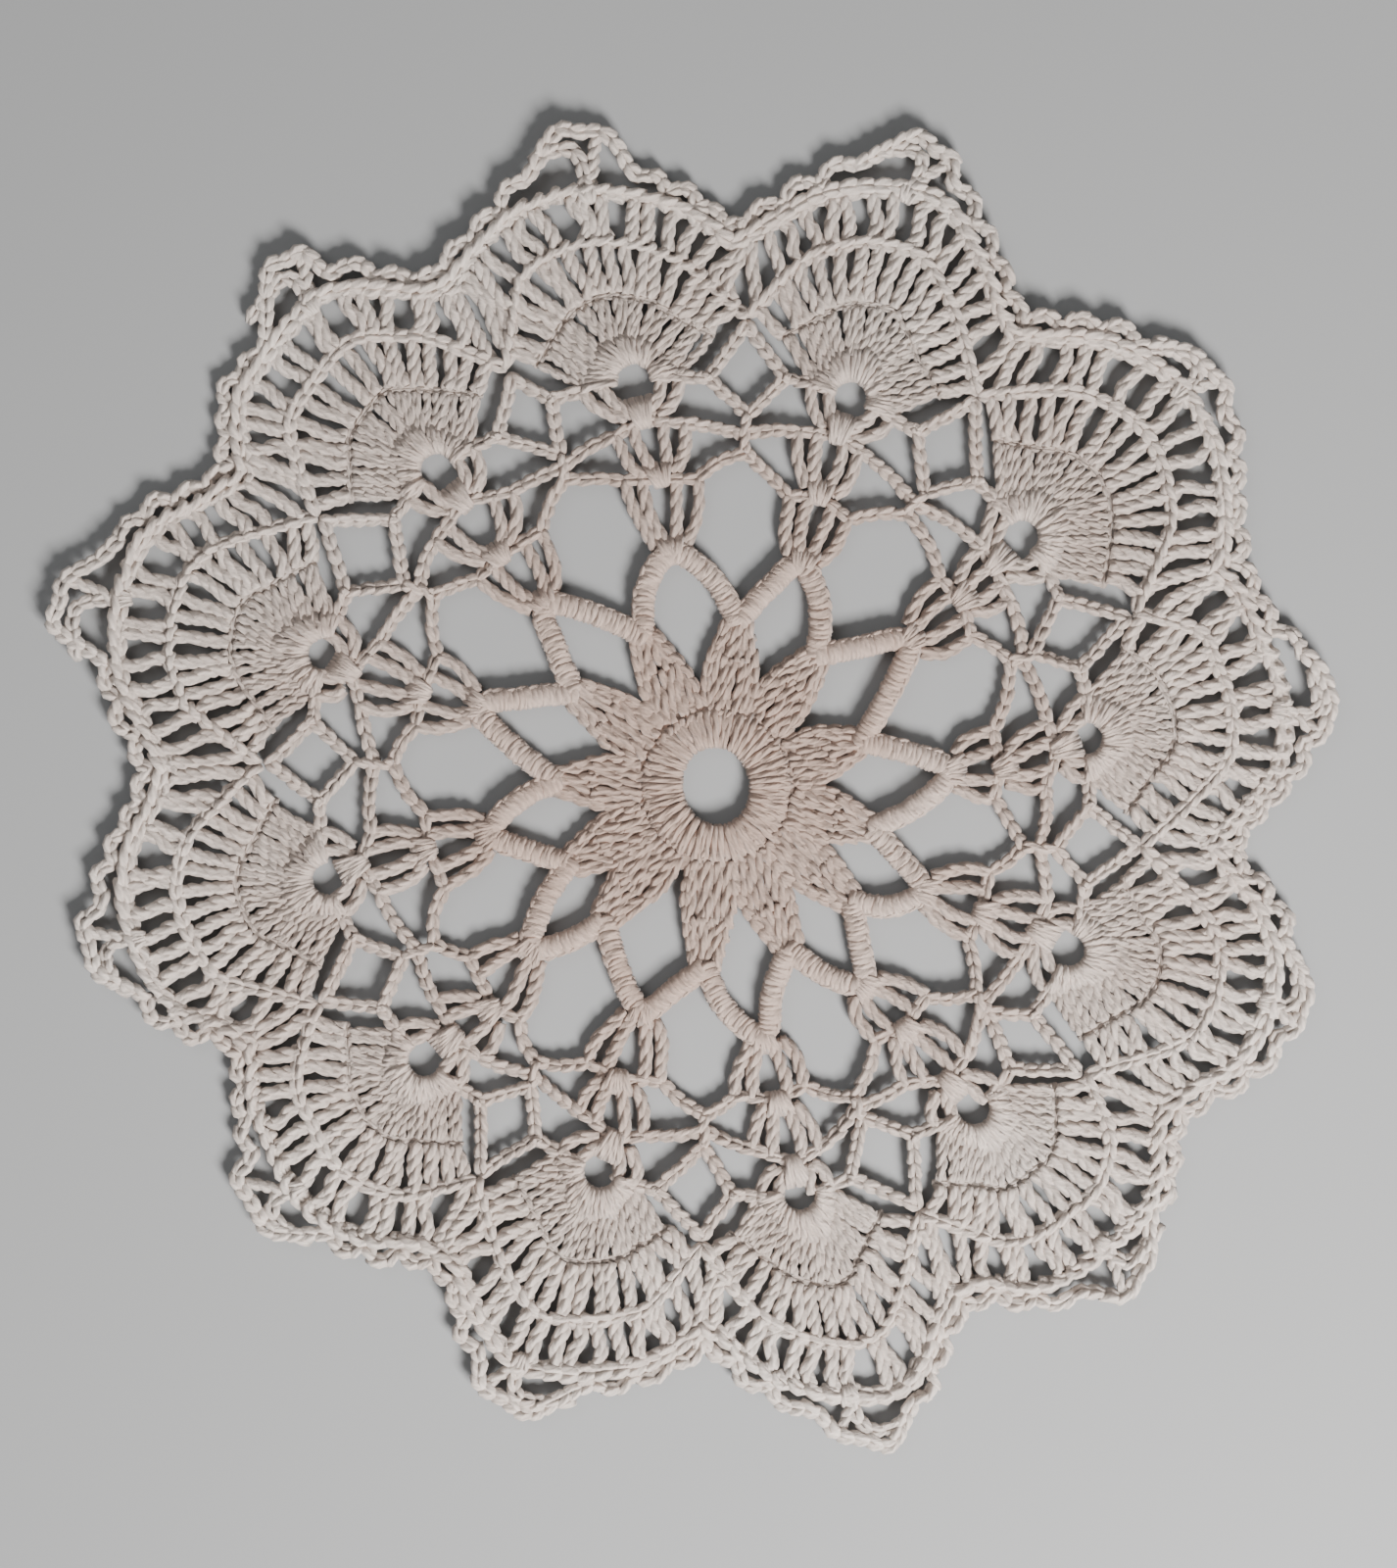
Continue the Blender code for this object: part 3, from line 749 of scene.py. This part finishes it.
def work_hub(skein, plan, k):
    """A scallop's first two rows: a fan of straight strands, and a close row of posts."""
    arc = hub_arc(plan, k)
    first = row_line(plan, k, ROWS[0].start + 0.02)
    for i in range(HUB_FANS):
        share = (i + 0.5 + uneven(0.2)) / HUB_FANS
        hook_over(skein, arc.share(share), first.share(share), 0.00050)
    work_row(skein, plan, k, ROWS[0])


def work_row(skein, plan, k, row):
    """One row of posts across a scallop."""
    feet = row_line(plan, k, row.start)
    heads = row_line(plan, k, row.end)
    middle = row_line(plan, k, (row.start + row.end) / 2)
    posts = row.posts + dice.choice((-1, 0, 0, 1))
    for i in range(posts):
        step = middle.step((i + 0.5) / posts + uneven(row.stray))
        foot = jogged(feet.spot(step))
        head = jogged(heads.spot(step + uneven(0.5)))
        post(skein, foot, head, half=row.half, yarn=row.yarn, wander=row.wander, strands=row.strands, turn=row.turn)


def work_heads(skein, plan, k):
    """The low ridge over the close rows, and the chains of heads over the open ones."""
    for heads in HEADS:
        line = row_line(plan, k, heads.share)
        path = [line.share(i / 20) for i in range(21)]
        chain(skein, path, heads.lift, heads.step, heads.half, heads.yarn, heads.roll)


def edge_line(plan, k):
    """The middle line of a scallop's chain edge, from notch to notch round its tip."""
    hub = plan.columns[k].hub
    reach = [EDGE_REACH] * 2 + [CROWN_REACH] * 3 + [EDGE_REACH] * 2
    outer = [pushed(point, hub, far) for point, far in zip(plan.rims[k], reach)]
    left, right = [pushed(point, hub, -TIP_INSET) for point in plan.tips[k]]
    rise = pushed(outer[1].lerp(left, 0.5), hub, CROWNS[k].rise)
    fall = pushed(right.lerp(outer[4], 0.5), hub, CROWNS[k].fall)
    crown = [rise, left, left.lerp(right, 0.5), right, fall]
    return Line([plan.gaps[k - 1].notch, *outer[:2], *crown, *outer[4:], plan.gaps[k].notch])


def work_edge(skein, plan, k):
    """The chain loops round a scallop, plain round its tip, and the loops inside the tip."""
    line = edge_line(plan, k)
    crown = (line.marks[2 * LINE_STEPS] * 0.6 + line.marks[4 * LINE_STEPS] * 0.4, line.marks[8 * LINE_STEPS])
    for start, end in ((0.0, crown[0]), (crown[1], line.length)):
        path = []
        waves = max(1, round((end - start) / EDGE_WAVE))
        for i in range(waves):
            bump = EDGE_BUMP * (1 + uneven(0.25))
            for j in range(4):
                spot, along = line.at(start + (end - start) * (i + j / 4) / waves)
                path.append(spot + Vector((-along.y, along.x)) * bump * math.sin(math.pi * j / 4))
        path.append(line.at(end)[0])
        chain(skein, path, lift=0.0013, half=EDGE_HALF, yarn=EDGE_YARN)
    path = [line.at(crown[0] + (crown[1] - crown[0]) * i / 16)[0] for i in range(17)]
    chain(skein, path, lift=0.0015, step=0.0022, half=CROWN_HALF, yarn=CROWN_YARN)
    work_tip(skein, plan, k)


def work_tip(skein, plan, k):
    """The strands inside a scallop's tip: an arc over to its left side, and a stitch up."""
    knot = plan.rims[k].knot
    left, right = plan.tips[k]
    side = pushed(plan.rims[k].low_left, plan.columns[k].hub, EDGE_REACH).lerp(left, 0.60)
    arc = [side, knot.lerp(left, 0.64), knot.lerp(left.lerp(right, 0.45), 0.48), knot]
    chain(skein, arc, lift=0.0014, half=CROWN_HALF, yarn=YARN)
    post(skein, knot, knot.lerp(right, 0.86), lift=0.0014, half=0.00052, yarn=VEE_YARN)
    gather(skein, knot, (left.lerp(right, 0.5) - knot).normalized(), ROW_GATHER, 4)


class Shader:
    """A material's nodes, each made and joined in one line."""

    def __init__(self, name):
        self.material = bpy.data.materials.new(name)
        self.material.use_nodes = True
        self.tree = self.material.node_tree
        self.surface = self.tree.nodes["Principled BSDF"]

    def node(self, kind, settings=(), **inputs):
        made = self.tree.nodes.new("ShaderNode" + kind)
        for key, value in dict(settings).items():
            setattr(made, key, value)
        for key, value in inputs.items():
            self.feed(made, key, value)
        return made

    def feed(self, made, key, value):
        socket = made.inputs[int(key[1:])] if key[0] == "i" and key[1:].isdigit() else made.inputs[key]
        if isinstance(value, bpy.types.NodeSocket):
            self.tree.links.new(value, socket)
        else:
            socket.default_value = value

    def maths(self, operation, first, second=0.0):
        return self.node("Math", {"operation": operation}, i0=first, i1=second).outputs[0]


def cotton(middle):
    """Ecru cotton yarn: plied, slightly fuzzy, warmer near the middle of the doily, with painted shade on its lower
    strands and in its ply grooves.
    """
    shader = Shader("ecru_cotton_yarn")
    geometry = shader.node("TexCoord")
    yarn = shader.node("UVMap", {"uv_map": "yarn"})
    split = shader.node("SeparateXYZ", Vector=yarn.outputs["UV"])
    turn = shader.maths("MULTIPLY", split.outputs["X"], 2 * math.pi * PLIES)
    travel = shader.maths("MULTIPLY", split.outputs["Y"], 2 * math.pi / PLY_CM)
    ply = shader.maths("SINE", shader.maths("ADD", turn, travel))
    lay = shader.maths("ADD", shader.maths("MULTIPLY", split.outputs["X"], 2 * math.pi), travel)
    grain = shader.node("CombineXYZ", X=shader.maths("COSINE", lay), Y=shader.maths("SINE", lay))
    shader.feed(grain, "Z", shader.maths("MULTIPLY", split.outputs["Y"], FIBRE_STRETCH))
    fibre = shader.node("TexNoise", Vector=grain.outputs["Vector"], Scale=2.6, Detail=3.0, Roughness=0.65)
    patch = shader.node("TexNoise", Vector=geometry.outputs["Object"], Scale=45.0, Detail=2.0)
    away = shader.node("VectorMath", {"operation": "DISTANCE"}, i0=geometry.outputs["Object"], i1=(middle.x, middle.y, 0))
    spread = shader.maths("MULTIPLY", away.outputs["Value"], 1 / 0.1)
    wander = shader.maths("MULTIPLY", patch.outputs["Fac"], 0.7)
    ramp = shader.node("ValToRGB", Fac=shader.maths("ADD", spread, shader.maths("SUBTRACT", wander, 0.35)))
    ramp.color_ramp.elements[0].position = WARM_TO
    ramp.color_ramp.elements[0].color = WARM
    ramp.color_ramp.elements[1].color = COOL
    tone = shader.node("Attribute", {"attribute_name": "tone"})
    strand_tone = shader.maths("MULTIPLY", tone.outputs["Fac"], 0.10)
    # Painted shade and highlight on the plies: darker in the grooves between them, lighter on their crests
    ply_shade = shader.maths("MULTIPLY", ply, 0.09)
    # Painted shade: the lower a strand lies, the darker its colour, standing in for the shade between and under the
    # stitches
    shade_height = shader.node("Attribute", {"attribute_name": "shade_height"})
    painted_shade = shader.node("MapRange", Value=shade_height.outputs["Fac"])
    for key, value in (("From Min", 0.0005), ("From Max", 0.0023), ("To Min", 0.38), ("To Max", 0.94)):
        shader.feed(painted_shade, key, value)
    speck = shader.node("TexNoise", Vector=geometry.outputs["Object"], Scale=1100.0, Detail=2.0)
    mottle = shader.maths("MULTIPLY", shader.maths("SUBTRACT", speck.outputs["Fac"], 0.5), 0.35)
    # The colour's brightness: painted shade from height and ply grooves, plus each strand's random tone, specks and
    # fibre streaks
    painted_shade_and_tone = shader.maths("ADD", shader.maths("ADD", painted_shade.outputs["Result"], strand_tone), ply_shade)
    streak = shader.maths("MULTIPLY", shader.maths("SUBTRACT", fibre.outputs["Fac"], 0.5), 0.5)
    painted_shade_and_tone = shader.maths("ADD", shader.maths("ADD", painted_shade_and_tone, mottle), streak)
    paint = shader.node("VectorMath", {"operation": "SCALE"}, Vector=ramp.outputs["Color"], Scale=painted_shade_and_tone)
    shader.feed(shader.surface, "Base Color", paint.outputs["Vector"])
    relief = shader.maths("ADD", shader.maths("MULTIPLY", ply, 0.5), fibre.outputs["Fac"])
    bump = shader.node("Bump", Strength=0.8, Distance=0.00022, Height=relief)
    shader.feed(shader.surface, "Normal", bump.outputs["Normal"])
    shader.feed(shader.surface, "Roughness", 0.88)
    shader.feed(shader.surface, "Sheen Weight", 0.35)
    shader.feed(shader.surface, "Sheen Roughness", 0.5)
    shader.feed(shader.surface, "Specular IOR Level", 0.25)
    return shader.material


WARM_TO = 0.2
PLIES = 3
PLY_CM = 0.30
FIBRE_STRETCH = 1.6
WARM = (0.52, 0.38, 0.315, 1.0)
COOL = (0.77, 0.685, 0.625, 1.0)


def make_floor():
    mesh = bpy.data.meshes.new("floor")
    reach = 2.0
    corners = [(x * reach, y * reach, 0) for x, y in ((-1, -1), (1, -1), (1, 1), (-1, 1))]
    mesh.from_pydata(corners, [], [(0, 1, 2, 3)])
    floor = bpy.data.objects.new("floor", mesh)
    bpy.context.scene.collection.objects.link(floor)
    shader = Shader("pale_floor")
    shader.feed(shader.surface, "Base Color", FLOOR_COLOUR)
    shader.feed(shader.surface, "Roughness", 0.8)
    shader.feed(shader.surface, "Specular IOR Level", 0.2)
    mesh.materials.append(shader.material)
    return floor


FLOOR_COLOUR = (0.40, 0.41, 0.42, 1.0)


def add_light(name, spot, size, power, colour=(1.0, 1.0, 1.0)):
    """A square soft light aimed at the middle of the doily."""
    lamp = bpy.data.lights.new(name, "AREA")
    lamp.size = size
    lamp.energy = power
    lamp.color = colour
    item = bpy.data.objects.new(name, lamp)
    item.location = spot
    item.rotation_euler = (-Vector(spot)).to_track_quat("-Z", "Y").to_euler()
    bpy.context.scene.collection.objects.link(item)


def light_studio():
    world = bpy.data.worlds.new("studio")
    world.use_nodes = True
    world.node_tree.nodes["Background"].inputs["Color"].default_value = (1.0, 0.99, 0.97, 1.0)
    world.node_tree.nodes["Background"].inputs["Strength"].default_value = 0.16
    bpy.context.scene.world = world
    add_light("key", (0.26, -0.42, 0.42), 0.22, 9.2, (1.0, 0.97, 0.94))
    add_light("fill", (-0.6, 0.5, 0.8), 0.8, 2.4)


def add_camera():
    """The camera, straight above, framed as the photograph."""
    lens = bpy.data.cameras.new("camera")
    lens.lens = LENS
    scale = DOILY_WIDTH / WIDTH_PX
    centre = place((PHOTO_WIDE_PX / 2, PHOTO_TALL_PX / 2))
    camera = bpy.data.objects.new("camera", lens)
    camera.location = (centre.x, centre.y, PHOTO_TALL_PX * scale * LENS / lens.sensor_width)
    bpy.context.scene.collection.objects.link(camera)
    bpy.context.scene.camera = camera


LENS = 65.0
PHOTO_WIDE_PX = 1426
PHOTO_TALL_PX = 1600


def work_all(plan, name, material, *works):
    """A piece with the same work done for each twelfth of the doily."""
    skein = Skein()
    for k in range(COUNT):
        for work in works:
            work(skein, plan, k)
    return skein.piece(name, material)


def build():
    plan = lay_out()
    add_camera()
    light_studio()
    floor = make_floor()
    material = cotton(plan.middle)
    ring = Skein()
    work_ring(ring, plan)
    pieces = [ring.piece("centre_ring", material)]
    pieces.append(work_all(plan, "petals", material, work_petal))
    pieces.append(work_all(plan, "arches", material, work_arch))
    pieces.append(work_all(plan, "columns", material, work_column))
    pieces.append(work_all(plan, "net_chains", material, work_net))
    pieces.append(work_all(plan, "hub_fans", material, work_hub))
    open_rows = work_all(plan, "open_rows", material, work_open_rows)
    pieces.append(work_all(plan, "row_heads", material, work_heads))
    pieces.append(work_all(plan, "picot_edge", material, work_edge))
    for piece in [open_rows, *pieces]:
        mesh = piece.data
        mesh.calc_loop_triangles()
        surface = sum(face.area for face in mesh.polygons)
        print("PIECE", piece.name, len(mesh.loop_triangles), round(surface, 4))


def work_open_rows(skein, plan, k):
    work_row(skein, plan, k, ROWS[1])
    work_row(skein, plan, k, ROWS[2])


build()
